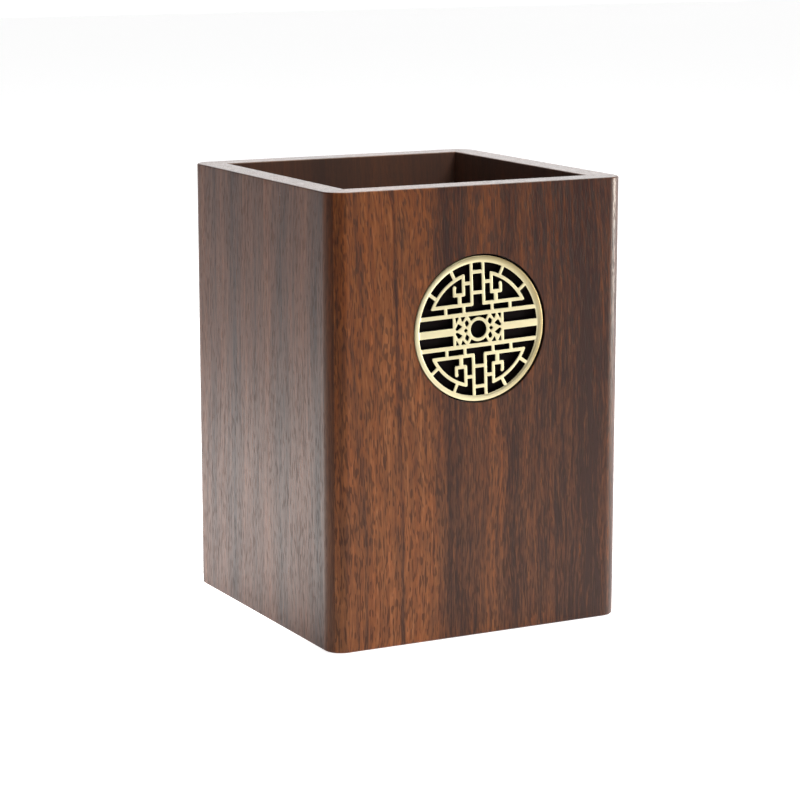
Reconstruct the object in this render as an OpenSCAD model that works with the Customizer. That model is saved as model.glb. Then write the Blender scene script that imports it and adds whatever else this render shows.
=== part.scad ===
// Square brush holder pot.
// Four walnut boards, mitred at the upright corners, stand round a base panel that is
// tongued into them. A pierced brass medallion lies in a round recess in the front board,
// on a thin black backing disc.
// The front faces -Y and +Z is up. The origin is the centre of the underside.

/* [Body] */
// Overall width, left to right
body_w = 80; // [66:1:120]
// Overall depth, front to back, without the medallion
body_d = 80; // [66:1:120]
// Overall height
body_h = 110; // [90:1:160]
// Thickness of the four wall boards
wall_t = 7; // [5:0.5:9]
// Radius of the four upright outer corners
corner_r = 4.5; // [1:0.5:6]

/* [Base] */
// Thickness of the base panel
base_t = 6; // [5:0.5:8]
// Thickness of the tongue round the base panel
tongue_t = 3; // [2:0.5:3]
// Height of the tongue's lower face above the underside
tongue_z = 1.5; // [1:0.5:2]
// Depth of the groove in the wall boards that takes the tongue
groove_depth = 3; // [2:0.5:3]
// Gap between the base panel's edge and the wall boards
base_gap = 0.1; // [0.05:0.05:0.2]
// Gap between the end of the tongue and the bottom of its groove
groove_gap = 0.3; // [0.1:0.1:0.5]

/* [Medallion] */
// Outer diameter of the medallion
medallion_d = 35; // [28:1:45]
// Turn of the medallion in its recess, in degrees
medallion_turn = 2; // [-5:0.5:5]
// Width of the medallion's outer ring
ring_w = 1.5; // [1:0.1:2]
// Thickness of the medallion at the crown of its ring
ring_t = 1.4; // [1.2:0.1:2]
// Depth of the lattice's front below the crown of the ring
lattice_drop = 0.1; // [0.1:0.1:0.5]
// Height of the ring's crown above the wood
stand_out = 0.25; // [0:0.05:0.8]
// Width and height of the bevel on the ring's outer edge
ring_bevel = 0.4; // [0.1:0.1:0.5]

/* [Recess] */
// Place of the recess's centre to the right of the front board's middle
recess_x = -0.25; // [-3:0.05:3]
// Distance of the recess's centre below the rim
recess_drop = 34.4; // [28:0.05:60]
// Gap all round between a centred medallion and the wall of its recess
recess_gap = 0.45; // [0.1:0.05:0.6]
// How far the medallion is pushed to one side, as a share of that gap
push_share = 0.8; // [0:0.05:0.9]
// Direction in which it is pushed, in degrees from the right
push_angle = 175; // [0:5:360]
// Thickness of the black backing disc
backing_t = 0.4; // [0.2:0.1:0.6]
// Distance of the backing disc's edge inside the recess's wall
backing_inset = 0.1; // [0.05:0.05:0.5]

/* [Hidden] */
$fn = 96;
cut = 1;                                  // how far a cutter runs past the surface it opens

inner_w = body_w - 2 * wall_t;
inner_d = body_d - 2 * wall_t;
tongue_reach = groove_depth - groove_gap;
medallion_r = medallion_d / 2;
recess_r = medallion_r + recess_gap;
recess_depth = ring_t + backing_t - stand_out;
push = push_share * recess_gap;
lattice_t = ring_t - lattice_drop;

// The lattice is drawn on a medallion of this diameter and scaled to the real one.
drawn_d = 35;
lattice_k = medallion_d / drawn_d;
lattice_r = drawn_d / 2 - ring_w / lattice_k + 0.2;  // its bars end a little inside the ring

// Bar widths of the lattice
bar_w = 0.92;
chord_w = 1.05;
band_w = 1.85;
strut_w = 1.15;
panel_bar_w = 0.75;

// Places of the lattice's bars, from its centre: u to the right and v up
mullion_u = 1.62;                         // the two tall bars beside the middle
rungs_v = [8.9, 13.85];                   // rungs between the tall bars
chord_v = 3.85;                           // full-width bars above and below the middle
sill_v = 6.15;                            // bottom bar of each corner frame
arc_r = 14.15;                            // outer radius of each corner frame's arc
jamb_u = 3.8;                             // upright bar of each corner frame
tie_v = 11.3;                             // tie between a tall bar and a corner frame
hook_u = 6.3;                             // free end of each hook
hook_v = 8.7;                             // level bar of each hook
hook_top = 10.5;                          // centre of the hook's round end
strut_u = 4.95;                           // strut between hook and bottom bar
studs_u = [3.85, 8.77];                   // studs between bottom bar and full-width bar
spokes = [36.4, 64];                      // angles of the spokes out to the ring
panel_u = 6.6;                            // side bars of the middle panel
eye_r = 2;                                // round eye in the middle panel
eye_w = 0.95;                             // width of the ring round the eye

// Openings in a quarter of the middle panel, from its centre
panel_top = chord_v - chord_w / 2;
crescent = [[0, 2], [0, panel_top], [2.6, panel_top], [1.95, 2.2], [1.3, 2]];
lozenge = [[3.13, 2.5], [3.7, 1.98], [3.52, 1.3], [3.18, 0.95], [2.6, 1.6], [2.82, 2.2]];
diamond = [[2.93, 0], [3.43, 0.5], [3.98, 0], [3.43, -0.5]];
wedge = [[3.53, panel_top], [4.78, panel_top], [4.38, 2.2]];
sliver = [[5.38, panel_top], [6.2, panel_top], [6.05, 2.1]];
dart = [[4.45, 1.08], [5.3, 1.75], [5.65, 1.65], [5.8, 1.2], [6.18, 0.75], [6.15, 0.35], [5.7, 0.3]];

// Rectangle with round corners, centred
module rounded_rect(w, d, r) {
    square([w - 2 * r, d], center = true);
    square([w, d - 2 * r], center = true);
    for (x = [-1, 1], y = [-1, 1])
        translate([x * (w / 2 - r), y * (d / 2 - r)])
            circle(r);
}

// Plan of the board on the -Y side of a w by d body, cut at 45 degrees through both corners
module board_plan(w, d) {
    out_x = w / 2 + cut;
    out_y = d / 2 + cut;
    in_x = w / 2 - wall_t - cut;
    in_y = d / 2 - wall_t - cut;
    intersection() {
        difference() {
            rounded_rect(w, d, corner_r);
            square([w - 2 * wall_t, d - 2 * wall_t], center = true);
        }
        polygon([[-out_x, -out_y], [out_x, -out_y], [in_x, -in_y], [-in_x, -in_y]]);
    }
}

// Wall board with its groove, made on the -Y side and turned to its own side
module wall_board(turn, w, d) {
    rotate(turn)
        difference() {
            linear_extrude(body_h)
                board_plan(w, d);
            translate([0, 0, tongue_z])
                linear_extrude(tongue_t)
                    square([w - 2 * wall_t + 2 * groove_depth, d - 2 * wall_t + 2 * groove_depth],
                           center = true);
        }
}

// Moves what is drawn flat to the recess's place, with z = 0 on the wood and +z outward
module on_front() {
    translate([recess_x, -body_d / 2, body_h - recess_drop])
        rotate([90, 0, 0])
            children();
}

module mirrored(axis) {
    children();
    mirror(axis)
        children();
}

module upright(u, v1, v2, w) {
    translate([u - w / 2, v1])
        square([w, v2 - v1]);
}

module level(v, u1, u2, w) {
    translate([u1, v - w / 2])
        square([u2 - u1, w]);
}

// Corner frame: an arc, a bottom bar and an upright, closed but for the foot of the upright
module corner_frame() {
    left = jamb_u - bar_w / 2;
    bottom = sill_v - bar_w / 2;
    difference() {
        intersection() {
            circle(arc_r);
            translate([left, bottom])
                square(arc_r);
        }
        intersection() {
            circle(arc_r - bar_w);
            translate([left + bar_w, bottom + bar_w])
                square(arc_r);
        }
        translate([left - cut, bottom + bar_w])
            square([bar_w + 2 * cut, hook_v - bar_w / 2 - bottom - bar_w]);
    }
    level(sill_v, mullion_u - bar_w / 2, jamb_u, bar_w);
}

module hook() {
    level(hook_v, jamb_u - bar_w / 2, hook_u + bar_w / 2, bar_w);
    upright(hook_u, hook_v, hook_top, bar_w);
    translate([hook_u - 0.07, hook_top])
        circle(bar_w / 2 + 0.07);
    upright(strut_u, sill_v, hook_v, strut_w);
}

// Bars in the upper right quarter of the lattice
module quarter_bars() {
    upright(mullion_u, sill_v - bar_w / 2, lattice_r + cut, bar_w);
    for (v = rungs_v)
        level(v, 0, mullion_u, bar_w);
    corner_frame();
    hook();
    level(tie_v, mullion_u, jamb_u, bar_w);
    for (u = studs_u)
        upright(u, chord_v, sill_v, bar_w);
    for (a = spokes)
        rotate(a)
            level(0, arc_r - bar_w / 2, lattice_r + cut, bar_w);
    level(chord_v, 0, lattice_r + cut, chord_w);
    level(0, panel_u, lattice_r + cut, band_w);
}

// Middle panel, between its side bars and the two full-width bars
module middle_panel() {
    difference() {
        square([2 * panel_u + panel_bar_w, 2 * chord_v], center = true);
        mirrored([1, 0])
            mirrored([0, 1]) {
                difference() {
                    polygon(crescent);
                    circle(eye_r + eye_w);
                }
                for (opening = [lozenge, wedge, sliver, dart])
                    polygon(opening);
            }
        mirrored([1, 0])
            polygon(diamond);
        circle(eye_r);
    }
}

module lattice() {
    intersection() {
        union() {
            mirrored([1, 0])
                mirrored([0, 1])
                    quarter_bars();
            middle_panel();
        }
        circle(lattice_r);
    }
}

module front_panel() {
    color([0.42, 0.27, 0.20])
        difference() {
            wall_board(0, body_w, body_d);
            on_front()
                translate([0, 0, -recess_depth])
                    cylinder(h = recess_depth + cut, r = recess_r);
        }
}

module back_panel() {
    color([0.42, 0.27, 0.20])
        wall_board(180, body_w, body_d);
}

module left_panel() {
    color([0.40, 0.26, 0.19])
        wall_board(270, body_d, body_w);
}

module right_panel() {
    color([0.40, 0.26, 0.19])
        wall_board(90, body_d, body_w);
}

module base_panel() {
    color([0.38, 0.25, 0.18]) {
        linear_extrude(base_t)
            square([inner_w - 2 * base_gap, inner_d - 2 * base_gap], center = true);
        translate([0, 0, tongue_z])
            linear_extrude(tongue_t)
                square([inner_w + 2 * tongue_reach, inner_d + 2 * tongue_reach], center = true);
    }
}

module medallion() {
    ring_in = medallion_r - ring_w;
    color([0.86, 0.77, 0.55])
        on_front()
            translate([push * cos(push_angle), push * sin(push_angle), stand_out - ring_t])
                rotate(medallion_turn) {
                    rotate_extrude()
                        polygon([[ring_in, 0], [medallion_r, 0], [medallion_r, ring_t - ring_bevel],
                                 [medallion_r - ring_bevel, ring_t],
                                 [ring_in + lattice_drop, ring_t], [ring_in, lattice_t]]);
                    linear_extrude(lattice_t)
                        scale(lattice_k)
                            lattice();
                }
}

module medallion_backing() {
    color([0.06, 0.05, 0.05])
        on_front()
            translate([0, 0, -recess_depth])
                cylinder(h = backing_t, r = recess_r - backing_inset);
}

front_panel();
back_panel();
left_panel();
right_panel();
base_panel();
medallion();
medallion_backing();
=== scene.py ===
"""Looks of the square brush holder pot: walnut boards, a pierced brass medallion and the stage.

Everything is in metres in the pot's own frame: the front faces -Y, +Z is up, and the origin is
the centre of the underside. Lengths that a maker would give in millimetres are multiplied by MM.
The lattice and the grain of the wood are drawn in millimetres and scaled once, where they are used.
"""

import math

import bmesh
import bpy
import numpy as np
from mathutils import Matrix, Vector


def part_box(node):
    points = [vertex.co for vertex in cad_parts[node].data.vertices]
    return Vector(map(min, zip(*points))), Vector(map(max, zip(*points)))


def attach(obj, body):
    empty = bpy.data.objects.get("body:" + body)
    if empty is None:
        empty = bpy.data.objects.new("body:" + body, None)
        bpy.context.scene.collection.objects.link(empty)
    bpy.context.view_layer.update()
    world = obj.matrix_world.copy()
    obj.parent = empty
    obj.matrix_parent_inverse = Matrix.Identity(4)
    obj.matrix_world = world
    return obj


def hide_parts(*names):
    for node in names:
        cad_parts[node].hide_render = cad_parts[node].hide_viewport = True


bl_info = {
    "name": "Brush holder pot",
    "version": (1, 0, 0),
    "blender": (4, 5, 0),
    "location": "View3D > Sidebar > Brush pot",
    "description": "Builds the boards, the medallion and the stage of a square brush holder pot",
    "category": "Object",
}

MM = 0.001
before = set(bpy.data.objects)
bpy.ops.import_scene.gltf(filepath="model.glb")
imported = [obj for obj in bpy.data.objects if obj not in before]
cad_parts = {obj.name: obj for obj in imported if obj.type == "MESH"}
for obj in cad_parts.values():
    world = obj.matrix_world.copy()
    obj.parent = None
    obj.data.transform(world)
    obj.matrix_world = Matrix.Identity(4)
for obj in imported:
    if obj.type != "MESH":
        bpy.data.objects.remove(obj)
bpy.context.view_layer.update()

# ---- sizes from the frame

FRONT_LOW, FRONT_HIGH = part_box("front_panel")
LEFT_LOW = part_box("left_panel")[0]
BASE_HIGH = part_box("base_panel")[1]
DISC_LOW, DISC_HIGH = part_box("medallion")
BACKING_LOW, BACKING_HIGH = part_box("medallion_backing")

HALF_W = -LEFT_LOW.x  # half the pot's width
HALF_D = -FRONT_LOW.y  # half the pot's depth
HEIGHT = FRONT_HIGH.z
WALL = FRONT_HIGH.y - FRONT_LOW.y
# A board ends at the middle of a quarter-round corner, which lies r(1 - cos 45) inside the side.
CORNER_R = (HALF_W - FRONT_HIGH.x) / (1 - math.cos(math.pi / 4))
BASE_T = BASE_HIGH.z
TONGUE_HALF = BASE_HIGH.x  # half the base panel's width over its tongue
TONGUE_LOW, TONGUE_HIGH = 1.5 * MM, 4.5 * MM
GROOVE_DEPTH = 3 * MM
BASE_GAP = 0.1 * MM  # between the base panel's edge and the boards
BASE_EDGE = 0.3 * MM  # bevel on the base panel's long edges

DISC_X = (DISC_LOW.x + DISC_HIGH.x) / 2  # the medallion's centre on the front board
DISC_Z = (DISC_LOW.z + DISC_HIGH.z) / 2
DISC_R = (DISC_HIGH.x - DISC_LOW.x) / 2
DISC_BACK_Y = DISC_HIGH.y
DISC_TURN = math.radians(2)
RECESS_X = (BACKING_LOW.x + BACKING_HIGH.x) / 2
RECESS_Z = (BACKING_LOW.z + BACKING_HIGH.z) / 2
BACKING_GAP = 0.1 * MM  # between the backing disc's edge and the recess's wall
RECESS_R = (BACKING_HIGH.x - BACKING_LOW.x) / 2 + BACKING_GAP
RECESS_Y = BACKING_HIGH.y  # floor of the round recess

# ---- what a user may change


class PotWood(bpy.types.PropertyGroup):
    """Colours and finish of the walnut, and how far its edges are worn."""

    light: bpy.props.FloatVectorProperty(
        name="Light walnut", description="Colour of the palest fibres in the warm wood",
        subtype="COLOR", size=3, min=0, max=1, default=(0.255, 0.092, 0.036))
    warm: bpy.props.FloatVectorProperty(
        name="Warm walnut", description="Colour of the warm, reddish wood",
        subtype="COLOR", size=3, min=0, max=1, default=(0.185, 0.060, 0.0210))
    middle: bpy.props.FloatVectorProperty(
        name="Middle walnut", description="Colour of wood between the warm and the dark",
        subtype="COLOR", size=3, min=0, max=1, default=(0.100, 0.035, 0.0175))
    dark: bpy.props.FloatVectorProperty(
        name="Dark walnut", description="Colour of the darkest, greyest streaks",
        subtype="COLOR", size=3, min=0, max=1, default=(0.032, 0.0122, 0.0114))
    # partly end grain, partly painted sheen: the pale grey that the rim's upward faces are mixed
    # towards
    end_grain_and_sheen: bpy.props.FloatVectorProperty(
        name="Sanded end grain", description="Colour of the polished end grain of the rim",
        subtype="COLOR", size=3, min=0, max=1, default=(0.13, 0.11, 0.105))
    roughness: bpy.props.FloatProperty(
        name="Roughness", description="Roughness of the oiled surface between pores",
        min=0, max=1, default=0.33)
    haze: bpy.props.FloatProperty(
        name="Haze", description="Pale haze of the sanded fibres at a low angle",
        min=0, max=1, default=0.05)
    pore_depth: bpy.props.FloatProperty(
        name="Pore depth", description="Depth of the open pores in the surface",
        unit="LENGTH", min=0, max=0.5 * MM, precision=5, default=0.06 * MM)
    rim_ease: bpy.props.FloatProperty(
        name="Rim edge", description="Radius worn on the outer edge of the rim",
        unit="LENGTH", min=0.05 * MM, max=1.5 * MM, precision=5, default=0.35 * MM)
    inner_ease: bpy.props.FloatProperty(
        name="Inner edge", description="Radius worn on the inner edge of the rim",
        unit="LENGTH", min=0.05 * MM, max=1.5 * MM, precision=5, default=0.3 * MM)
    foot_ease: bpy.props.FloatProperty(
        name="Foot edge", description="Radius worn at the foot of the outside",
        unit="LENGTH", min=0.05 * MM, max=1.5 * MM, precision=5, default=0.6 * MM)
    recess_ease: bpy.props.FloatProperty(
        name="Recess edge", description="Radius at the mouth of the medallion's recess",
        unit="LENGTH", min=0.02 * MM, max=0.5 * MM, precision=5, default=0.12 * MM)
    glue_line: bpy.props.FloatProperty(
        name="Glue line", description="Half the width of the seam at a mitre",
        unit="LENGTH", min=0, max=0.1 * MM, precision=5, default=0.015 * MM)


class PotBrass(bpy.types.PropertyGroup):
    """Colour and finish of the medallion."""

    brass: bpy.props.FloatVectorProperty(
        name="Brass", description="Colour of the satin brass",
        subtype="COLOR", size=3, min=0, max=1, default=(0.68, 0.61, 0.385))
    # painted shade: the colour that the ring is browned towards on its right
    shade: bpy.props.FloatVectorProperty(
        name="Shaded brass", description="Colour of the browner brass on the right of the ring",
        subtype="COLOR", size=3, min=0, max=1, default=(0.29, 0.225, 0.105))
    blacking: bpy.props.FloatVectorProperty(
        name="Blacking", description="Colour of the blackened sides of the openings",
        subtype="COLOR", size=3, min=0, max=1, default=(0.0045, 0.0022, 0.0022))
    roughness: bpy.props.FloatProperty(
        name="Roughness", description="Roughness of the brushed brass",
        min=0, max=1, default=0.46)
    edge: bpy.props.FloatProperty(
        name="Lattice edge", description="Radius on the front edges of the lattice's bars",
        unit="LENGTH", min=0.02 * MM, max=0.2 * MM, precision=5, default=0.11 * MM)


class PotStage(bpy.types.PropertyGroup):
    """Floor, light and camera."""

    floor: bpy.props.FloatVectorProperty(
        name="Floor", description="Colour of the floor",
        subtype="COLOR", size=3, min=0, max=1, default=(0.90, 0.90, 0.90))
    key_power: bpy.props.FloatProperty(
        name="Key light", description="Power of the overhead light, in watts",
        min=0, max=200, default=9.0)
    card_power: bpy.props.FloatProperty(
        name="Low card", description="Power of the low light at the front right, in watts",
        min=0, max=200, default=2.8)
    bright_side: bpy.props.FloatProperty(
        name="Bright side", description="Brightness behind and on the right",
        min=0, max=5, default=2.3)
    dim_side: bpy.props.FloatProperty(
        name="Dim side", description="Brightness on the viewer's side",
        min=0, max=5, default=0.12)
    # painted light: the floor's own glow stands in for light falling on it
    floor_glow: bpy.props.FloatProperty(
        name="Floor glow", description="Light that shines through the pale floor",
        min=0, max=5, default=0.45)
    spot_glow: bpy.props.FloatProperty(
        name="Floor spots", description="Extra glow of a few spots on the floor",
        min=0, max=5, default=2.0)
    lens: bpy.props.FloatProperty(
        name="Lens", description="Focal length in millimetres on a 36 mm sensor",
        min=20, max=300, default=119.95)


# ---- small helpers

SHARP = math.radians(40)  # edges that turn more than this stay crisp
MERGE_DISTANCE = 1e-7  # points nearer than this are one point
EASE_STEPS = 5  # steps round a worn edge


def put_mesh(name, points, corners, counts, material_numbers=None):
    """Makes an object at the origin from whole arrays.

    points is an n by 3 array, corners lists every face's point numbers one face after another,
    counts says how many corners each face has, and material_numbers gives each face's material.
    """
    mesh = bpy.data.meshes.new(name)
    starts = np.cumsum(counts) - counts
    mesh.vertices.add(len(points))
    mesh.vertices.foreach_set("co", np.asarray(points, np.float32).ravel())
    mesh.loops.add(len(corners))
    mesh.loops.foreach_set("vertex_index", np.asarray(corners, np.int32))
    mesh.polygons.add(len(counts))
    mesh.polygons.foreach_set("loop_start", starts.astype(np.int32))
    mesh.polygons.foreach_set("loop_total", np.asarray(counts, np.int32))
    if material_numbers is not None:
        mesh.polygons.foreach_set("material_index", np.asarray(material_numbers, np.int32))
    mesh.update(calc_edges=True)
    piece = bpy.data.objects.new(name, mesh)
    bpy.context.scene.collection.objects.link(piece)
    return piece


def close_up(piece):
    """Joins the points that neighbouring surfaces share, turns every face out and smooths it.

    The large flat faces keep their own direction, so that the worn edges alone look round.
    """
    work = bmesh.new()
    work.from_mesh(piece.data)
    bmesh.ops.remove_doubles(work, verts=work.verts, dist=MERGE_DISTANCE)
    bmesh.ops.recalc_face_normals(work, faces=work.faces)
    work.to_mesh(piece.data)
    work.free()
    piece.data.shade_smooth()
    piece.data.set_sharp_from_angle(angle=SHARP)
    if piece.data.validate():
        raise RuntimeError(piece.name + " has faces that do not hold together")
    piece.modifiers.new("flats", "WEIGHTED_NORMAL").keep_sharp = True


def quads(rows, columns, closed_rows=False, keep=None):
    """Corners of the quads of a rows by columns grid of points, numbered row by row.

    closed_rows joins the last row to the first. keep is a mask of the cells that are wanted.
    """
    numbers = np.arange(rows * columns).reshape(rows, columns)
    if closed_rows:
        numbers = np.vstack((numbers, numbers[:1]))
    cells = np.stack((numbers[:-1, :-1], numbers[:-1, 1:], numbers[1:, 1:], numbers[1:, :-1]), -1)
    return cells[keep] if keep is not None else cells.reshape(-1, 4)


def quarter_round(steps):
    """Sine and one minus cosine of equal steps over a right angle: how far along, how far in."""
    turn = np.linspace(0, math.pi / 2, steps + 1)
    return np.sin(turn), 1 - np.cos(turn)


def finish_piece(piece, slot_name, node, *materials):
    """Gives a finished piece its materials and its body, and hides the node it stands for;
    slot_name is not used.
    """
    for material in materials:
        piece.data.materials.append(material)
    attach(piece, "root")
    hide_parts(node)


# ---- wall boards

CORNER_STEPS = 9  # steps round half a corner
FACE_COLUMNS = 40  # steps across the flat of a board
FACE_ROWS = 48  # steps up the flat of a board
PLATE_RINGS = 8  # rings of the flat face round the recess
PLATE_CROWDING = 1.4  # power that draws those rings in towards the recess


def board_section(wood):
    """Outline of a board cut across its length: depth in from the outside, height, and kind.

    It runs from the foot of the outside up the face, over the rim, down the inside, round the
    groove for the base's tongue and back under the foot. The kind is True for points that
    follow the pot's rounded outside and False for those that follow its square inside.
    """
    along, inward = quarter_round(EASE_STEPS)
    face = np.linspace(wood.foot_ease, HEIGHT - wood.rim_ease, FACE_ROWS + 1)
    outer = np.vstack((
        np.column_stack((wood.foot_ease * (1 - along), wood.foot_ease * inward)),
        np.column_stack((np.zeros(FACE_ROWS - 1), face[1:-1])),
        np.column_stack((wood.rim_ease * inward, HEIGHT - wood.rim_ease * (1 - along))),
    ))
    inner = np.vstack((
        np.column_stack((WALL - wood.inner_ease * (1 - along), HEIGHT - wood.inner_ease * inward)),
        [[WALL, TONGUE_HIGH], [WALL - GROOVE_DEPTH, TONGUE_HIGH],
         [WALL - GROOVE_DEPTH, TONGUE_LOW], [WALL, TONGUE_LOW], [WALL, 0]],
    ))
    section = np.vstack((outer, inner))
    rounded = np.arange(len(section)) < len(outer)
    return section[:, 0], section[:, 1], rounded


def board_points(wood, half_length, half_distance):
    """Points of a board on the -Y side: its section carried from one mitre to the other.

    A point of the rounded kind at depth q lies on an arc of radius corner less q round the
    corner's centre, then on the straight, then on the other arc. A point of the square kind lies
    on the straight line at depth q between the two mitres, at the same share of its length.
    """
    depth, height, rounded = board_section(wood)
    arc = np.linspace(0, math.pi / 4, CORNER_STEPS + 1)
    flat = half_length - CORNER_R
    centre_x = np.pad(np.linspace(-flat, flat, FACE_COLUMNS + 1), CORNER_STEPS, mode="edge")
    lean = np.concatenate((-arc[:0:-1], np.zeros(FACE_COLUMNS + 1), arc[1:]))
    radius = (CORNER_R - depth)[:, None]
    x_round = centre_x + radius * np.sin(lean)
    y_round = -(half_distance - CORNER_R) - radius * np.cos(lean)
    outline = centre_x + CORNER_R * np.sin(lean)
    share = outline / outline[-1]
    x = np.where(rounded[:, None], x_round, (half_length - depth)[:, None] * share)
    y = np.where(rounded[:, None], y_round, -(half_distance - depth)[:, None])
    x[:, 0] += wood.glue_line * math.sqrt(2)
    x[:, -1] -= wood.glue_line * math.sqrt(2)
    z = np.repeat(height[:, None], len(share), axis=1)
    return np.stack((x, y, z), -1)


def recess_rings(edge, mouth_ease):
    """Front face round the recess, the recess's wall and part of its floor, as rings of points.

    edge is the closed outline of the flat face. A line runs from each of its points straight
    towards the recess's centre: first to the recess's mouth, then over a small quarter round,
    down the wall, and half way in over the floor.
    """
    centre = np.array([RECESS_X, 0, RECESS_Z])
    away = edge - centre
    away[:, 1] = 0
    away /= np.linalg.norm(away, axis=1)[:, None]
    mouth = centre + away * (RECESS_R + mouth_ease)
    mouth[:, 1] = -HALF_D
    shares = np.linspace(1, 0, PLATE_RINGS + 1)[1:, None, None] ** PLATE_CROWDING
    along, inward = quarter_round(EASE_STEPS)
    radii = np.concatenate((RECESS_R + mouth_ease * (1 - along[1:]), [RECESS_R, RECESS_R / 2]))
    levels = np.concatenate((-HALF_D + mouth_ease * inward[1:], [RECESS_Y, RECESS_Y]))
    inside = centre + away[None] * radii[:, None, None]
    inside[:, :, 1] = levels[:, None]
    return np.concatenate((edge[None], mouth + (edge - mouth) * shares, inside))


def recessed_face(block, first_number, mouth_ease):
    """Points, corners and counts of the flat face with its recess, to go in place of block."""
    edge = np.concatenate((block[0, :-1], block[:-1, -1], block[-1, :0:-1], block[:0:-1, 0]))
    rings = recess_rings(edge, mouth_ease)
    rings = np.concatenate((rings, rings[:, :1]), axis=1)
    rows, columns = rings.shape[:2]
    plate = quads(rows, columns) + first_number
    hub = first_number + rows * columns
    last = np.arange(hub - columns, hub)
    fan = np.column_stack((last[:-1], last[1:], np.full(columns - 1, hub)))
    points = np.concatenate((rings.reshape(-1, 3), [[RECESS_X, RECESS_Y, RECESS_Z]]))
    corners = np.concatenate((plate.ravel(), fan.ravel()))
    counts = np.concatenate((np.full(len(plate), 4), np.full(len(fan), 3)))
    return points, corners, counts


def quarter_turned(points, turns):
    """Points turned by quarter turns about the pot's upright axis."""
    x, y, z = points.T
    for _ in range(turns):
        x, y = -y, x
    return np.column_stack((x, y, z))


def wall_board(name, wood, turns, half_length, half_distance, recessed=False):
    """A mitred wall board as one closed surface, made on the -Y side and turned to its own."""
    grid = board_points(wood, half_length, half_distance)
    rows, columns = grid.shape[:2]
    keep = np.ones((rows, columns - 1), bool)
    top, right = EASE_STEPS + FACE_ROWS, CORNER_STEPS + FACE_COLUMNS
    keep[EASE_STEPS:top, CORNER_STEPS:right] = not recessed
    cells = quads(rows, columns, closed_rows=True, keep=keep)
    numbers = np.arange(rows * columns).reshape(rows, columns)
    points = grid.reshape(-1, 3)
    corners = np.concatenate((cells.ravel(), numbers[::-1, 0], numbers[:, -1]))
    counts = np.concatenate((np.full(len(cells), 4), [rows, rows]))
    if recessed:
        block = grid[EASE_STEPS:top + 1, CORNER_STEPS:right + 1]
        more = recessed_face(block, len(points), wood.recess_ease)
        points, corners, counts = map(np.concatenate, zip((points, corners, counts), more))
    piece = put_mesh(name, quarter_turned(points, turns), corners, counts)
    close_up(piece)
    return piece


# ---- base panel


def base_board(name):
    """Base panel with its tongue: half-widths and heights of a section, carried round a square."""
    body = HALF_W - WALL - BASE_GAP
    narrow = body - BASE_EDGE
    half = np.array([narrow, body, body, TONGUE_HALF, TONGUE_HALF, body, body, narrow])
    height = np.array([0, BASE_EDGE, TONGUE_LOW, TONGUE_LOW, TONGUE_HIGH, TONGUE_HIGH,
                       BASE_T - BASE_EDGE, BASE_T])
    signs = np.array([[-1, -1], [1, -1], [1, 1], [-1, 1], [-1, -1]])
    plan = half[:, None, None] * signs
    level = np.repeat(height[:, None, None], len(signs), axis=1)
    points = np.concatenate((plan, level), -1)
    cells = quads(*points.shape[:2])
    top_start = points.shape[0] * points.shape[1] - len(signs)
    corners = np.concatenate((cells.ravel(), [3, 2, 1, 0], top_start + np.arange(4)))
    piece = put_mesh(name, points.reshape(-1, 3), corners, np.full(len(cells) + 2, 4))
    close_up(piece)
    return piece


# ---- medallion
# The lattice is drawn in millimetres from its centre, u to the right and v up.

RING_R = 17.5  # outer radius of the ring
RING_IN = 16.08  # inner radius of the ring
LATTICE_R = 16.25  # the bars end a little inside the ring
LATTICE_U, LATTICE_V = -0.25, -0.11  # the lattice stands a little to one side of the ring
LATTICE_THICK = 1.3  # from the medallion's back to the lattice's front
CROWN = 0.1  # height of the ring's crown above the lattice
COVE_R = 16.6  # where the ring's front reaches its crown
SHOULDER_R = 17.0  # where the ring's front starts to fall
SHOULDER_DROP = 0.12  # how far it has fallen at the ring's outside

BAR_W = 0.92  # width of most bars
CHORD_W = 1.05  # width of the full-width bars
BAND_W = 1.85  # width of the bands beside the middle panel
STRUT_W = 1.15  # width of the strut under each hook
PANEL_BAR_W = 0.75  # width of the middle panel's side bars

MULLION_U = 1.62  # the two tall bars beside the middle
RUNGS_V = (8.9, 13.85)  # rungs between the tall bars
CHORD_V = 3.85  # full-width bars above and below the middle
SILL_V = 6.15  # bottom bar of each corner frame
ARC_R = 14.15  # outer radius of each corner frame's arc
JAMB_U = 3.8  # upright bar of each corner frame
TIE_V = 11.3  # tie between a tall bar and a corner frame
HOOK_U = 6.3  # free end of each hook
HOOK_V = 8.7  # level bar of each hook
HOOK_TOP = 10.5  # centre of the hook's round end
HOOK_SWELL = 0.07  # how much that end is thicker than half a bar
STRUT_U = 4.95  # strut between hook and bottom bar
STUDS_U = (3.85, 8.77)  # studs between bottom bar and full-width bar
SPOKES = (36.4, 64.0)  # angles of the spokes out to the ring, in degrees
PANEL_U = 6.6  # side bars of the middle panel
PANEL_TOP = CHORD_V - CHORD_W / 2  # top of the middle panel's openings
EYE_R = 2.1  # round eye in the middle panel
EYE_W = 0.85  # width of the ring round the eye
TRIM = 0.04  # what filing takes off each side of a bar

# Openings in a quarter of the middle panel
CRESCENT = ((2.6, PANEL_TOP), (1.95, 2.2), (1.3, 2), (-1.3, 2), (-1.95, 2.2), (-2.6, PANEL_TOP))
LOZENGE = ((3.13, 2.5), (3.7, 1.98), (3.52, 1.3), (3.18, 0.95), (2.6, 1.6), (2.82, 2.2))
DIAMOND = ((2.93, 0), (3.43, 0.5), (3.98, 0), (3.43, -0.5))
WEDGE = ((3.53, PANEL_TOP), (4.78, PANEL_TOP), (4.38, 2.2))
SLIVER = ((5.38, PANEL_TOP), (6.2, PANEL_TOP), (6.05, 2.1))
DART = ((4.45, 1.08), (5.3, 1.75), (5.65, 1.65), (5.8, 1.2), (6.18, 0.75), (6.15, 0.35),
        (5.7, 0.3))

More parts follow.
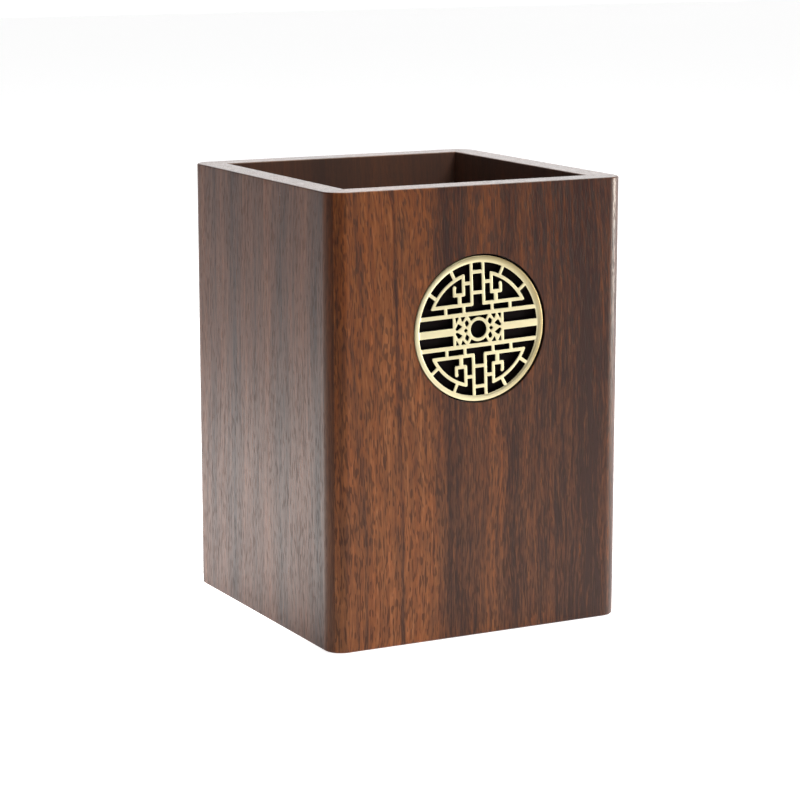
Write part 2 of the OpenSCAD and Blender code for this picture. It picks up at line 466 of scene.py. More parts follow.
GRID_STEP = 0.15  # spacing of the grid that the outline is found on
SOFTEN = 0.11  # spread of the blur that rounds the bars' corners
BLUR_REACH = 3  # grid steps that the blur looks to each side
NEAREST_CROSSING = 0.08  # least share of a grid step from a point to a crossing
LATTICE_EASE_STEPS = 3  # steps round the lattice's front edges


def box_gap(u, v, low_u, high_u, low_v, high_v):
    """Signed distance to a rectangle, negative inside."""
    out_u = np.maximum(low_u - u, u - high_u)
    out_v = np.maximum(low_v - v, v - high_v)
    outside = np.hypot(np.maximum(out_u, 0), np.maximum(out_v, 0))
    return outside + np.minimum(np.maximum(out_u, out_v), 0)


def upright(u, v, at, low, high, width=BAR_W):
    """Signed distance to an upright bar whose middle line is at u = at."""
    return box_gap(u, v, at - width / 2, at + width / 2, low, high)


def level(u, v, at, low, high, width=BAR_W):
    """Signed distance to a level bar whose middle line is at v = at."""
    return box_gap(u, v, low, high, at - width / 2, at + width / 2)


def outline_gap(u, v, corners):
    """Signed distance to a closed outline.

    It is the distance to the nearest edge, negative where a level ray crosses an odd number.
    """
    nearest = np.full(u.shape, np.inf)
    inside = np.zeros(u.shape, bool)
    for (from_u, from_v), (to_u, to_v) in zip(corners, corners[1:] + corners[:1]):
        run_u, run_v = to_u - from_u, to_v - from_v
        share = ((u - from_u) * run_u + (v - from_v) * run_v) / (run_u ** 2 + run_v ** 2)
        share = np.clip(share, 0, 1)
        away = np.hypot(u - from_u - share * run_u, v - from_v - share * run_v)
        nearest = np.minimum(nearest, away)
        spans = (from_v > v) != (to_v > v)
        inside ^= spans & (u < from_u + (v - from_v) * run_u / (run_v or 1))
    return np.where(inside, -nearest, nearest)


def corner_frame_gap(u, v, radius):
    """Corner frame: an arc, a bottom bar and an upright, closed but for the foot of the upright."""
    left, bottom = JAMB_U - BAR_W / 2, SILL_V - BAR_W / 2
    outer = np.maximum.reduce((radius - ARC_R, left - u, bottom - v))
    opening = np.maximum.reduce((radius - ARC_R + BAR_W, left + BAR_W - u, bottom + BAR_W - v))
    foot = box_gap(u, v, left - 1, left + BAR_W, bottom + BAR_W, HOOK_V - BAR_W / 2)
    return np.maximum.reduce((outer, -opening, -foot))


def middle_panel_gap(u, v, radius):
    """Middle panel: a rectangle less its openings, with a round eye."""
    panel = box_gap(u, v, -PANEL_U - PANEL_BAR_W / 2, PANEL_U + PANEL_BAR_W / 2, -CHORD_V, CHORD_V)
    crescent = np.maximum(outline_gap(u, v, CRESCENT), EYE_R + EYE_W - radius)
    openings = [outline_gap(u, v, corners) for corners in (LOZENGE, DIAMOND, WEDGE, SLIVER, DART)]
    return np.maximum.reduce([panel, -crescent, EYE_R - radius] + [-gap for gap in openings])


def medallion_gap(u, v):
    """Signed distance to the medallion: its ring and its lattice, mirrored in both its axes."""
    outline = np.hypot(u, v) - RING_R
    u, v = u - LATTICE_U, v - LATTICE_V
    radius = np.hypot(u, v)
    u, v = np.abs(u), np.abs(v)
    far = RING_R
    bars = [upright(u, v, MULLION_U, SILL_V - BAR_W / 2, far)]
    bars += [level(u, v, at, -MULLION_U, MULLION_U) for at in RUNGS_V]
    bars += [corner_frame_gap(u, v, radius), level(u, v, SILL_V, MULLION_U - BAR_W / 2, JAMB_U)]
    bars += [level(u, v, HOOK_V, JAMB_U - BAR_W / 2, HOOK_U + BAR_W / 2)]
    bars += [upright(u, v, HOOK_U, HOOK_V, HOOK_TOP)]
    bars += [np.hypot(u - HOOK_U + HOOK_SWELL, v - HOOK_TOP) - BAR_W / 2 - HOOK_SWELL]
    bars += [upright(u, v, STRUT_U, SILL_V, HOOK_V, STRUT_W), level(u, v, TIE_V, MULLION_U, JAMB_U)]
    bars += [upright(u, v, at, CHORD_V, SILL_V) for at in STUDS_U]
    for angle in np.radians(SPOKES):
        outward = u * math.cos(angle) + v * math.sin(angle)
        sideways = v * math.cos(angle) - u * math.sin(angle)
        bars += [level(outward, sideways, 0, ARC_R - BAR_W / 2, far)]
    bars += [level(u, v, CHORD_V, -far, far, CHORD_W), level(u, v, 0, PANEL_U, far, BAND_W)]
    bars += [middle_panel_gap(u, v, radius)]
    lattice = np.maximum(np.minimum.reduce(bars) + TRIM, radius - LATTICE_R)
    return np.minimum(lattice, np.maximum(outline, RING_IN - radius))


def softened(field, spread):
    """Field blurred with a bell curve along each axis, which rounds every corner of its outline."""
    reach = np.arange(-BLUR_REACH, BLUR_REACH + 1)
    bell = np.exp(-0.5 * (reach / spread) ** 2)
    bell /= bell.sum()
    for axis in (0, 1):
        margins = [(BLUR_REACH,) * 2 if side == axis else (0, 0) for side in (0, 1)]
        padded = np.pad(field, margins, mode="edge")
        field = sum(weight * np.take(padded, np.arange(field.shape[axis]) + shift, axis=axis)
                    for shift, weight in enumerate(bell))
    return field


def flat_outline(field):
    """Flat mesh of the part of a grid where field is negative, with its edge on the zero line.

    Its points are the grid points inside and the crossings on grid lines, placed where a straight
    line between the two values is zero. A cell's face passes through whichever of its corners and
    crossings exist, in order round the cell. Returns column and row of each point, corners, counts.
    """
    inside = field < 0
    there = np.zeros((3,) + field.shape, bool)
    there[0] = inside
    there[1, :, :-1] = inside[:, :-1] != inside[:, 1:]
    there[2, :-1] = inside[:-1] != inside[1:]
    number = np.full(there.shape, -1)
    number[there] = np.arange(there.sum())
    kind, row, column = np.nonzero(there)
    here = field[row, column]
    ahead = field[row + (kind == 2), column + (kind == 1)]
    crossing = here / np.where(kind == 0, 1, here - ahead)
    share = np.where(kind == 0, 0, np.clip(crossing, NEAREST_CROSSING, 1 - NEAREST_CROSSING))
    grid, across, up = number
    slots = np.stack((grid[:-1, :-1], across[:-1, :-1], grid[:-1, 1:], up[:-1, 1:],
                      grid[1:, 1:], across[1:, :-1], grid[1:, :-1], up[:-1, :-1]), -1)
    slots = slots.reshape(-1, 8)
    used = slots >= 0
    counts = used.sum(1)
    return column + share * (kind == 1), row + share * (kind == 2), slots[used], counts[counts > 0]


def open_edges(corners, counts, point_count):
    """Start and end points of the edges that only one face uses, with that face on their left."""
    ends = np.cumsum(counts)
    following = np.arange(1, len(corners) + 1)
    following[ends - 1] = ends - counts
    start, end = corners, corners[following]
    alone = ~np.isin(start * point_count + end, end * point_count + start)
    return start[alone], end[alone]


def front_height(radius):
    """Height of the medallion's front above its back: level, a cove up to the crown, a shoulder."""
    cove = np.clip((radius - RING_IN) / (COVE_R - RING_IN), 0, 1)
    fall = np.clip((radius - SHOULDER_R) / (RING_R - SHOULDER_R), 0, 1)
    rise = CROWN * cove * cove * (3 - 2 * cove)
    return LATTICE_THICK + rise - SHOULDER_DROP * (1 - np.sqrt(1 - fall * fall))


def medallion_mesh(name, ease):
    """The medallion as one closed surface: a flat outline, raised to its front and let down.

    The outline stands one ease inside the bars' sides. Its edge points are carried outwards along
    the slope of the distance field in a quarter round, then straight down to the back.
    """
    half_cells = math.ceil(RING_R / GRID_STEP) + 2
    line = np.arange(-half_cells, half_cells + 1) * GRID_STEP
    v_grid, u_grid = np.meshgrid(line, line, indexing="ij")
    field = softened(medallion_gap(u_grid, v_grid), SOFTEN / GRID_STEP)
    column, row, corners, counts = flat_outline(field + ease)
    flat_u, flat_v = line[0] + column * GRID_STEP, line[0] + row * GRID_STEP
    slope_v, slope_u = np.gradient(field, GRID_STEP)

    start, end = open_edges(corners, counts, len(flat_u))
    place = np.zeros(len(flat_u), int)
    place[start] = np.arange(len(start))
    edge_u, edge_v = flat_u[start], flat_v[start]
    near = np.round(row[start]).astype(int), np.round(column[start]).astype(int)
    out_u, out_v = slope_u[near], slope_v[near]
    length = np.maximum(np.hypot(out_u, out_v), 1e-6)
    out_u, out_v = out_u / length, out_v / length

    edge_r = np.hypot(edge_u, edge_v)
    outside = edge_r > (RING_IN + RING_R) / 2
    along, inward = quarter_round(LATTICE_EASE_STEPS)
    walls = []
    for out, down in zip(along[1:] * ease, inward[1:] * ease):
        wall_u, wall_v = edge_u + out * out_u, edge_v + out * out_v
        shoulder = front_height(np.hypot(wall_u, wall_v))
        walls.append((wall_u, wall_v, np.where(outside, shoulder, front_height(edge_r) - down)))
    walls.append((walls[-1][0], walls[-1][1], np.zeros(len(start))))

    back_u, back_v = flat_u.copy(), flat_v.copy()
    back_u[start], back_v[start] = walls[-1][:2]
    layers = [(flat_u, flat_v, front_height(np.hypot(flat_u, flat_v)))] + walls[:-1]
    layers.append((back_u, back_v, np.zeros(len(flat_u))))
    u, v, w = (np.concatenate(values) for values in zip(*layers))

    first = len(flat_u)
    back_first = first + (len(walls) - 1) * len(start)
    steps, steps_end = (
        [ends] + [first + k * len(start) + place[ends] for k in range(len(walls) - 1)]
        + [back_first + ends] for ends in (start, end))
    sides = [np.column_stack((steps[k], steps[k + 1], steps_end[k + 1], steps_end[k]))
             for k in range(len(walls))]
    blackened = [np.zeros(len(start), int)] * (len(walls) - 1) + [np.where(outside, 0, 1)]
    last = np.cumsum(counts)
    turned_round = np.repeat(2 * last - counts - 1, counts) - np.arange(len(corners))
    back_corners = back_first + corners[turned_round]

    scale = DISC_R / RING_R
    cos, sin = math.cos(DISC_TURN), math.sin(DISC_TURN)
    points = np.column_stack((DISC_X + (u * cos - v * sin) * scale, DISC_BACK_Y - w * MM,
                              DISC_Z + (u * sin + v * cos) * scale))
    all_corners = np.concatenate([corners] + [side.ravel() for side in sides] + [back_corners])
    all_counts = np.concatenate((counts, np.full(len(start) * len(walls), 4), counts))
    bright = np.zeros(len(counts), int)
    numbers = np.concatenate([bright] + blackened + [bright])
    piece = put_mesh(name, points, all_corners, all_counts, numbers)
    piece.data.shade_smooth()
    piece.data.set_sharp_from_angle(angle=SHARP)
    return piece


# ---- materials


class Graph:
    """A material's or the world's nodes, with short calls to add them and join their sockets."""

    def __init__(self, tree):
        self.tree = tree
        tree.nodes.clear()

    def node(self, kind, inputs=None, **settings):
        """Adds a node. inputs maps a socket's name or number to a value or to another socket."""
        made = self.tree.nodes.new("ShaderNode" + kind)
        for name, value in settings.items():
            setattr(made, name, value)
        for socket, value in (inputs or {}).items():
            if isinstance(value, bpy.types.NodeSocket):
                self.tree.links.new(value, made.inputs[socket])
            else:
                made.inputs[socket].default_value = value
        return made

    def math(self, operation, *values, clamp=False):
        """Result of one sum on numbers or sockets."""
        inputs = dict(enumerate(values))
        return self.node("Math", inputs, operation=operation, use_clamp=clamp).outputs[0]

    def sway(self, noise, strength, value):
        """Value moved up and down by a noise."""
        return self.math("MULTIPLY_ADD", self.math("SUBTRACT", noise, 0.5), strength, value)

    def along(self, vector, direction):
        """How far a vector reaches along a direction."""
        made = self.node("VectorMath", {0: vector, 1: direction}, operation="DOT_PRODUCT")
        return made.outputs["Value"]

    def distance(self, first, second):
        """Distance between two points."""
        made = self.node("VectorMath", {0: first, 1: second}, operation="DISTANCE")
        return made.outputs["Value"]

    def noise(self, vector, detail=2.0, roughness=0.5):
        """Smooth noise between 0 and 1, with features about one unit of the vector across."""
        inputs = {"Vector": vector, "Scale": 1.0, "Detail": detail, "Roughness": roughness}
        return self.node("TexNoise", inputs).outputs[0]

    def place(self, vector, size=(1, 1, 1), shift=(0, 0, 0), turn=0.0):
        """Vector divided by a size along each axis, turned about the upright axis and moved."""
        scale = tuple(1 / side for side in size)
        inputs = {"Vector": vector, "Location": shift, "Rotation": (0, 0, turn), "Scale": scale}
        return self.node("Mapping", inputs).outputs[0]

    def range(self, value, low, high, to_low=0.0, to_high=1.0, smooth=True):
        """Value carried from one range to another, held at both ends."""
        inputs = {0: value, 1: low, 2: high, 3: to_low, 4: to_high}
        kind = "SMOOTHSTEP" if smooth else "LINEAR"
        return self.node("MapRange", inputs, interpolation_type=kind).outputs[0]

    def mix(self, share, first, second, blend="MIX"):
        """Two colours mixed or blended."""
        made = self.node("Mix", {0: share, 6: first, 7: second}, data_type="RGBA", blend_type=blend)
        return made.outputs[2]

    def ramp(self, value, stops):
        """Colour at a value between 0 and 1, from (place, colour) stops."""
        made = self.node("ValToRGB", {0: value})
        elements = made.color_ramp.elements
        while len(elements) < len(stops):
            elements.new(1.0)
        for element, (place, colour) in zip(elements, stops):
            element.position = place
            element.color = colour
        return made.outputs[0]

    def surface(self, inputs):
        """Ends a material's graph with a shader that has these inputs."""
        shader = self.node("BsdfPrincipled", inputs)
        self.node("OutputMaterial", {0: shader.outputs[0]})


def new_material(name, unit=MM, turns=0):
    """A material, its graph, and the object's own coordinates in a unit, turned back to -Y."""
    material = bpy.data.materials.new(name)
    material.use_nodes = True
    graph = Graph(material.node_tree)
    own = graph.node("TexCoord").outputs["Object"]
    return material, graph, graph.place(own, (unit, unit, unit), turn=-turns * math.pi / 2)


def opaque(colour):
    """A property's colour with full cover."""
    return tuple(colour) + (1.0,)


# Grain sizes across, deep and up a board, in millimetres
WANDER_SIZE = (22, 22, 55)  # slow bends of the streaks
WOBBLE_SIZE = (2.2, 2.2, 16)  # quick bends of the streaks
STREAK_SIZE = (0.9, 0.9, 20)
FIBRE_SIZE = (0.34, 0.34, 3.6)
TINGE_SIZE = (1.3, 1.3, 18)  # redder and greyer streaks
PORE_SIZE = (0.34, 0.34, 2.2)
CROWDING_SIZE = (7, 7, 30)  # places with more and with fewer pores

REDDER = (1.06, 0.95, 0.88, 1)
PORE_COLOUR = (0.026, 0.010, 0.007, 1)
INSIDE_SHEEN_COLOUR = (0.25, 0.165, 0.13, 1)  # painted sheen that pales the faces inside the pot
# painted shade for the wall and floor of the medallion's recess
RECESS_SHADE_COLOUR = (0.010, 0.004, 0.003, 1)

# Tone of the wood across a board, from its left edge in millimetres: 0 is warm and 1 is dark.
FRONT_BANDS = (
    (0, 0.25), (4, 0.22), (6, 0.10), (9, 0.26), (11.5, 0.06), (14, 0.0), (17.9, 0.05), (18.7, 0.66),
    (19.5, 0.06), (22, 0.02), (25.5, 0.10), (28.8, 0.40), (31.5, 0.80), (36, 0.68), (41, 0.50),
    (44, 0.28), (46.3, 0.50), (49.5, 0.86), (53.5, 0.52), (57, 0.76), (59, 0.66), (61.5, 0.84),
    (65, 0.84), (68.5, 0.96), (71, 1.1), (73.3, 0.96), (75.5, 0.74), (80, 0.78),
)
SIDE_BANDS = (
    (0, 0.68), (6, 0.48), (12, 0.78), (18, 0.52), (25, 0.92), (31, 0.50), (38, 0.70), (45, 0.40),
    (52, 0.84), (58, 0.60), (66, 0.44), (72, 0.86), (76, 0.56), (80, 0.68),
)
BACK_BANDS = (
    (0, 0.62), (8, 0.40), (15, 0.66), (22, 0.48), (30, 0.30), (37, 0.46), (44, 0.78), (48, 0.90),
    (54, 0.56), (62, 0.36), (70, 0.60), (80, 0.50),
)


def walnut(name, wood, bands, turns=0, lean=0.0, slope=0.35, shift=0.0, crisp=1.0, recessed=False,
           lying=False):
    """Oiled walnut with upright grain, in millimetres on the board's own across, depth and height.

    The tone follows bands on the across coordinate, which slopes with depth, leans near the rim
    and wanders with the height. Streaks, fibres and pores are noises drawn out along the grain,
    and crisp weakens or strengthens them, the streaks least. All of it fills the solid, so the
    rim shows the same streaks as end grain. A standing board's upward faces are mixed towards a
    pale grey that is partly end grain and partly painted sheen. The inside is paled with painted
    sheen, and the walls and floor of the recess are darkened with painted shade. A lying board
    has its grain level, left to right.
    """
    material, graph, board = new_material(name, turns=turns)
    x, y, z = graph.node("SeparateXYZ", {0: board}).outputs
    if lying:
        x, y, z = y, z, x
        board = graph.node("CombineXYZ", {0: x, 1: y, 2: z}).outputs[0]

    wander = graph.noise(graph.place(board, WANDER_SIZE, (shift, 0, shift)), detail=1.0)
    wobble = graph.noise(graph.place(board, WOBBLE_SIZE, (0, shift, shift)), detail=2.0)
    height = graph.math("DIVIDE", z, HEIGHT / MM)
    cubed = graph.math("POWER", graph.math("MAXIMUM", height, 0.0), 3.0)
    bend = graph.math("MULTIPLY", cubed, lean)
    inwards = graph.math("MULTIPLY", graph.math("ADD", y, HALF_D / MM), slope)
    across = graph.math("ADD", graph.math("ADD", x, bend), inwards)
    across = graph.sway(wobble, 1.3, graph.sway(wander, 4.0, across))

    position = graph.math("DIVIDE", graph.math("ADD", across, HALF_W / MM), 2 * HALF_W / MM)
    grey = [(at * MM / (2 * HALF_W), (tone, tone, tone, 1)) for at, tone in bands]
    tone = graph.ramp(position, grey)
    grain = graph.node("CombineXYZ", {0: across, 1: y, 2: z}).outputs[0]
    streak = graph.noise(graph.place(grain, STREAK_SIZE, (0, shift, 0)), detail=3.0, roughness=0.6)
    fibre = graph.noise(graph.place(grain, FIBRE_SIZE, (shift, 0, 0)), detail=2.0)
    tone = graph.sway(fibre, 1.2 * crisp, graph.sway(streak, 1.6 * crisp ** 0.5, tone))
    stops = [(0.0, opaque(wood.light)), (0.25, opaque(wood.warm)), (0.6, opaque(wood.middle)),
             (1.0, opaque(wood.dark))]
    colour = graph.ramp(graph.math("MULTIPLY_ADD", tone, 0.75, 0.25), stops)

    tinge = graph.noise(graph.place(grain, TINGE_SIZE, (shift, shift, 0)), detail=2.0)
    colour = graph.mix(graph.range(tinge, 0.35, 0.70), colour, REDDER, "MULTIPLY")

    pore_noise = graph.noise(graph.place(grain, PORE_SIZE, (0, 0, shift)), detail=0.0)
    crowding = graph.noise(graph.place(board, CROWDING_SIZE, (shift, shift, 0)), detail=1.0)
    threshold = graph.math("MULTIPLY_ADD", crowding, -0.18, 0.62)
    pores = graph.range(graph.math("SUBTRACT", pore_noise, threshold), 0.0, 0.14)
    colour = graph.mix(graph.math("MULTIPLY", pores, 0.60 * crisp), colour, PORE_COLOUR)

    # painted sheen: the faces inside the pot are mixed towards a pale grey-brown
    inner_y = (WALL - HALF_D) / MM
    inside = graph.range(y, inner_y - 0.30, inner_y - 0.05, 0.0, 0.35)
    colour = graph.mix(inside, colour, INSIDE_SHEEN_COLOUR)

    # painted shade: the wall and floor of the medallion's recess are darkened
    if recessed:
        middle = graph.node("CombineXYZ", {0: RECESS_X / MM, 1: y, 2: RECESS_Z / MM}).outputs[0]
        radius = graph.distance(board, middle)
        near = graph.range(radius, RECESS_R / MM + 0.3, RECESS_R / MM + 0.1)
        deep = graph.range(y, 0.05 - HALF_D / MM, 0.3 - HALF_D / MM)
        colour = graph.mix(graph.math("MULTIPLY", near, deep), colour, RECESS_SHADE_COLOUR)

    # partly end grain, partly painted sheen: faces that point up are mixed towards the rim's pale
    # grey
    if not lying:
        up = graph.node("SeparateXYZ", {0: graph.node("NewGeometry").outputs["Normal"]}).outputs[2]
        rim_grain_and_sheen = graph.range(up, 0.75, 0.98)
        colour = graph.mix(graph.math("MULTIPLY", rim_grain_and_sheen, 0.6), colour, opaque(wood.end_grain_and_sheen))

    relief = graph.math("MULTIPLY_ADD", pores, -1.0, graph.math("MULTIPLY", fibre, 0.25))
    bump = graph.node("Bump", {"Height": relief, "Distance": wood.pore_depth, "Strength": 0.15})
    rough = graph.math("MULTIPLY_ADD", pores, 0.15, graph.sway(streak, 0.30, wood.roughness))
    graph.surface({"Base Color": colour, "Roughness": rough, "IOR": 1.28,
                   "Specular Tint": (1.0, 0.96, 0.78, 1.0), "Sheen Weight": wood.haze,
                   "Sheen Roughness": 0.4, "Normal": bump.outputs[0]})
    return material


RING_SHADE_SIDE = (0.94, 0, 0.34)  # direction across the front in which the ring is browner with painted shade
RING_SHADE_REACH = (12.0, 40.0)  # millimetres that way where it starts, and is full


def satin_brass(name, finish):
    """Satin brass, brushed level, with a faint cloud; painted shade browns the ring towards its
    right.
    """
    material, graph, board = new_material(name)
    cloud = graph.noise(graph.place(board, (6, 6, 6)), detail=2.0)
    brushing = graph.noise(graph.place(board, (5, 0.1, 0.1)), detail=2.0)
    specks = graph.noise(graph.place(board, (0.25, 0.25, 0.25)), detail=1.0)
    middle = (DISC_X / MM, DISC_BACK_Y / MM, DISC_Z / MM)
    radius = graph.distance(board, middle)
    disc_r = DISC_R / MM
    # painted shade on the outer ring, growing towards its right; the cloud adds random tone
    outer = graph.range(radius, disc_r - 1.5, disc_r, 0.30, 1.0, smooth=False)
    reach = graph.range(graph.along(board, RING_SHADE_SIDE), *RING_SHADE_REACH)
    ring = graph.range(radius, disc_r - 1.6, disc_r - 1.3)
    ring_shade = graph.math("MULTIPLY", graph.math("MULTIPLY", outer, reach), ring)
    browner = graph.math("ADD", ring_shade, graph.range(cloud, 0.35, 0.75, 0.0, 0.12), clamp=True)
    colour = graph.mix(browner, opaque(finish.brass), opaque(finish.shade))
    rough = graph.math("MULTIPLY_ADD", specks, 0.10, graph.math("MULTIPLY_ADD", brushing, 0.12,
                                                              finish.roughness - 0.11))
    bump = graph.node("Bump", {"Height": brushing, "Distance": 0.01 * MM, "Strength": 0.5})
    graph.surface({"Base Color": colour, "Metallic": 1.0, "Roughness": rough,
                   "Normal": bump.outputs[0]})
    return material


def matt_black(name, colour, roughness):
    """Matt blacking with a faint cloud and a fine tooth."""
    material, graph, board = new_material(name)
    cloud = graph.noise(graph.place(board, (3, 3, 3)), detail=2.0)
    tooth = graph.noise(graph.place(board, (0.15, 0.15, 0.15)), detail=1.0)
    lighter = tuple(2 * channel for channel in colour) + (1.0,)
    tint = graph.mix(graph.math("MULTIPLY", cloud, 0.5), opaque(colour), lighter)
    bump = graph.node("Bump", {"Height": tooth, "Distance": 0.01 * MM, "Strength": 0.4})
    graph.surface({"Base Color": tint, "Roughness": roughness, "Specular IOR Level": 0.06,
                   "Normal": bump.outputs[0]})
    return material


def paper_floor(name, stage):
    """Pale floor with a painted glow that stands in for light on it, more in a few spots, and
    darker beyond its front.
    """
    material, graph, own = new_material(name, unit=1)
    cloud = graph.noise(graph.place(own, (0.3, 0.3, 0.3)))
    beyond = graph.range(graph.along(own, FORWARD), *FLOOR_FRONT)
    tint = graph.mix(graph.math("MULTIPLY", cloud, 0.02), opaque(stage.floor), (0.8, 0.8, 0.8, 1))
    tint = graph.mix(beyond, tint, (0.15, 0.15, 0.15, 1))
    glow = graph.math("MULTIPLY", graph.math("SUBTRACT", 1.0, beyond), stage.floor_glow)
    for place, radius, share in FLOOR_SPOTS:
        spot = graph.range(graph.distance(own, place), 0.0, radius, stage.spot_glow * share, 0.0)
        glow = graph.math("ADD", glow, spot)
    graph.surface({"Base Color": tint, "Roughness": 0.9, "Specular IOR Level": 0.1,
                   "Emission Color": (1, 1, 1, 1), "Emission Strength": glow})
    return material


# ---- stage

FLOOR_HALF = 3.0  # half the floor's width
FLOOR_LINES = 9  # lines of points across the floor
CAMERA_PLACE = (-0.3094, -0.5866, 0.1791)
CAMERA_TURN = tuple(math.radians(angle) for angle in (79.1, 0.0, -27.74))
FORWARD = (-0.4654, -0.8851, 0.0)  # level direction from the pot to the camera
FLOOR_FRONT = (0.17, 0.30)  # where the floor starts to dim, and is dim, on that line
FLOOR_SPOTS = (  # centre, radius and share of the extra glow: painted pools of light
    ((-0.13, 0.15, 0.0), 0.25, 1.0), ((0.22, -0.36, 0.0), 0.26, 0.15),
    ((0.05, -0.10, 0.0), 0.12, 0.2), ((-0.085, 0.04, 0.0), 0.13, 0.3),
    ((-0.06, 0.02, 0.0), 0.075, 0.5),
)
# Azimuths run from -Y towards +X.
BRIGHT_AZIMUTH = math.radians(125)
WORLD_TURN = (0.1, 0.95)  # cosines off that azimuth where it is dim, and bright
# Name, azimuth, rise, distance, width and height of each light
KEY = ("key", math.radians(70), math.radians(68), 0.8, 0.5, 0.5)
CARD = ("card", math.radians(70), math.radians(-1.0), 0.6, 0.24, 0.09)


def floor_sheet(name):
    """Level floor: x and y are the grid's own parameters and z is that of the pot's underside."""
    line = np.linspace(-FLOOR_HALF, FLOOR_HALF, FLOOR_LINES)
    y, x = np.meshgrid(line, line, indexing="ij")
    points = np.stack((x, y, np.zeros(x.shape)), -1).reshape(-1, 3)
    cells = quads(FLOOR_LINES, FLOOR_LINES)
    return put_mesh(name, points, cells.ravel(), np.full(len(cells), 4))


def surroundings(stage):
    """World that is bright behind and on the right and dim on the viewer's side."""
    world = bpy.data.worlds.new("surroundings")
    world.use_nodes = True
    graph = Graph(world.node_tree)
    towards = (math.sin(BRIGHT_AZIMUTH), -math.cos(BRIGHT_AZIMUTH), 0.0)
    side = graph.along(graph.node("TexCoord").outputs["Generated"], towards)
    strength = graph.range(side, *WORLD_TURN, stage.dim_side, stage.bright_side)
    light = graph.node("Background", {"Color": (1.0, 1.0, 1.0, 1.0), "Strength": strength})
    graph.node("OutputWorld", {0: light.outputs[0]})
    bpy.context.scene.world = world


def soft_light(power, name, azimuth, rise, distance, width, height):
    """Soft rectangular light aimed at the middle of the pot."""
    light = bpy.data.lights.new(name, "AREA")
    light.shape = "RECTANGLE"
    light.size = width
    light.size_y = height
    light.energy = power
    lamp = bpy.data.objects.new(name, light)
    level_distance = distance * math.cos(rise)
    lamp.location = (level_distance * math.sin(azimuth), -level_distance * math.cos(azimuth),
                     HEIGHT / 2 + distance * math.sin(rise))
    lamp.rotation_euler = (math.pi / 2 - rise, 0, azimuth)
    bpy.context.scene.collection.objects.link(lamp)


def camera(stage):
    """Camera a little above the rim, to the left of the front."""
    lens = bpy.data.cameras.new("camera")
    lens.lens = stage.lens
    lens.sensor_width = 36
    lens.clip_start = 0.01
    eye = bpy.data.objects.new("camera", lens)
    eye.location = CAMERA_PLACE
    eye.rotation_euler = CAMERA_TURN
    bpy.context.scene.collection.objects.link(eye)
    bpy.context.scene.camera = eye


# ---- operators


class BRUSHPOT_OT_stage(bpy.types.Operator):
    """Adds the floor, the light, the surroundings and the camera"""

    bl_idname = "brushpot.stage"
    bl_label = "Stage"

    def execute(self, context):
        stage = context.scene.pot_stage
        floor = floor_sheet("floor")
        floor.data.materials.append(paper_floor("paper_floor", stage))
        surroundings(stage)
        soft_light(stage.key_power, *KEY)
        soft_light(stage.card_power, *CARD)
        camera(stage)
        context.scene.view_settings.view_transform = "Standard"
        return {"FINISHED"}


class BRUSHPOT_OT_front_board(bpy.types.Operator):
    """Adds the front board with the round recess for the medallion"""

    bl_idname = "brushpot.front_board"
    bl_label = "Front board"

    def execute(self, context):
        wood = context.scene.pot_wood
        piece = wall_board("front_board", wood, 0, HALF_W, HALF_D, recessed=True)
        grain = walnut("walnut_front", wood, FRONT_BANDS, lean=2.7, recessed=True)
        finish_piece(piece, "walnut_front", "front_panel", grain)
        return {"FINISHED"}


class BRUSHPOT_OT_side_boards(bpy.types.Operator):
    """Adds the right, back and left boards"""

    bl_idname = "brushpot.side_boards"
    bl_label = "Side boards"

    def execute(self, context):
        wood = context.scene.pot_wood
        boards = (
            ("right", 1, HALF_D, HALF_W, SIDE_BANDS, 37.0, -0.3),
            ("back", 2, HALF_W, HALF_D, BACK_BANDS, 11.0, 0.4),
            ("left", 3, HALF_D, HALF_W, SIDE_BANDS, 5.0, 0.3),
        )
        for side, turns, half_length, half_distance, bands, shift, slope in boards:
            piece = wall_board(side + "_board", wood, turns, half_length, half_distance)
            grain = walnut("walnut_" + side, wood, bands, turns, lean=-1.5, slope=slope,
                           shift=shift, crisp=0.45)
            finish_piece(piece, "walnut_side", side + "_panel", grain)
        return {"FINISHED"}


class BRUSHPOT_OT_base(bpy.types.Operator):
    """Adds the base panel with its tongue"""

    bl_idname = "brushpot.base"
    bl_label = "Base panel"

    def execute(self, context):
        wood = context.scene.pot_wood
        piece = base_board("base_board")
        grain = walnut("walnut_base", wood, BACK_BANDS, shift=23.0, lying=True)
        finish_piece(piece, "walnut_base", "base_panel", grain)
        return {"FINISHED"}


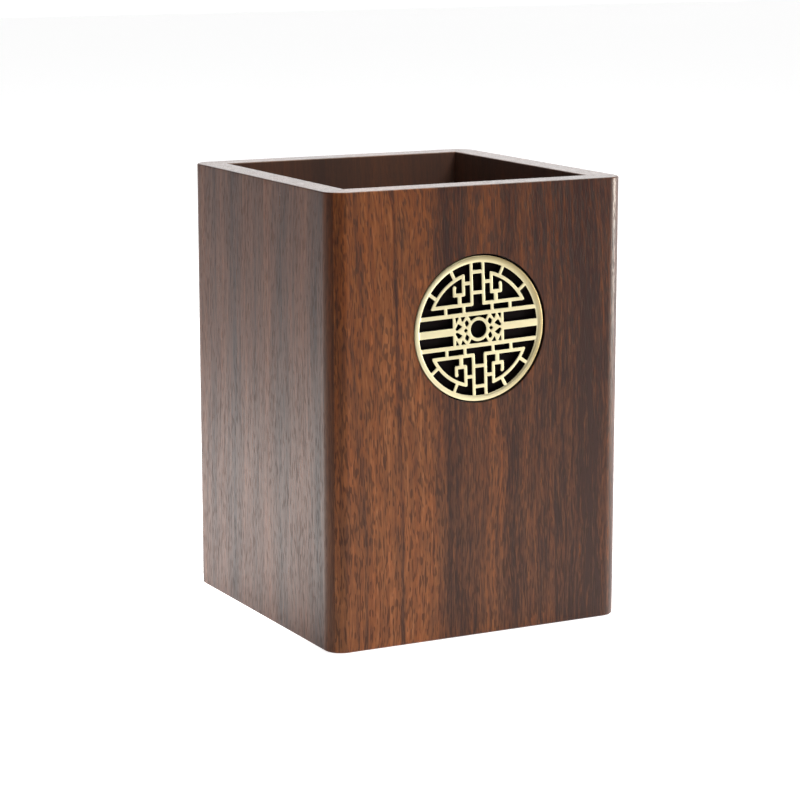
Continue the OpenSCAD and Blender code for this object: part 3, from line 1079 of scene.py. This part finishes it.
class BRUSHPOT_OT_medallion(bpy.types.Operator):
    """Adds the pierced brass medallion"""

    bl_idname = "brushpot.medallion"
    bl_label = "Medallion"

    def execute(self, context):
        finish = context.scene.pot_brass
        piece = medallion_mesh("brass_medallion", finish.edge / MM)
        finish_piece(piece, "brass", "medallion", satin_brass("satin_brass", finish),
                     matt_black("blackened_sides", finish.blacking, 0.6))
        return {"FINISHED"}


class BRUSHPOT_OT_backing(bpy.types.Operator):
    """Gives the backing disc its matt black finish"""

    bl_idname = "brushpot.backing"
    bl_label = "Backing disc"

    def execute(self, context):
        finish = context.scene.pot_brass
        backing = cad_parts["medallion_backing"]
        backing.data.materials.clear()
        backing.data.materials.append(matt_black("matt_black", finish.blacking, 0.7))
        return {"FINISHED"}


STEPS = (BRUSHPOT_OT_stage, BRUSHPOT_OT_front_board, BRUSHPOT_OT_side_boards, BRUSHPOT_OT_base,
         BRUSHPOT_OT_medallion, BRUSHPOT_OT_backing)


class BRUSHPOT_PT_panel(bpy.types.Panel):
    """Lists the steps that build the pot and its stage"""

    bl_idname = "BRUSHPOT_PT_panel"
    bl_label = "Brush pot"
    bl_space_type = "VIEW_3D"
    bl_region_type = "UI"
    bl_category = "Brush pot"

    def draw(self, context):
        for step in STEPS:
            self.layout.operator(step.bl_idname)


SETTINGS = {"pot_wood": PotWood, "pot_brass": PotBrass, "pot_stage": PotStage}


def register():
    for name, group in SETTINGS.items():
        bpy.utils.register_class(group)
        setattr(bpy.types.Scene, name, bpy.props.PointerProperty(type=group))
    for made in STEPS + (BRUSHPOT_PT_panel,):
        bpy.utils.register_class(made)


def unregister():
    for made in reversed(STEPS + (BRUSHPOT_PT_panel,)):
        bpy.utils.unregister_class(made)
    for name, group in SETTINGS.items():
        delattr(bpy.types.Scene, name)
        bpy.utils.unregister_class(group)


def main():
    register()
    bpy.ops.brushpot.stage()
    bpy.ops.brushpot.front_board()
    bpy.ops.brushpot.side_boards()
    bpy.ops.brushpot.base()
    bpy.ops.brushpot.medallion()
    bpy.ops.brushpot.backing()


if __name__ == "__main__":
    main()
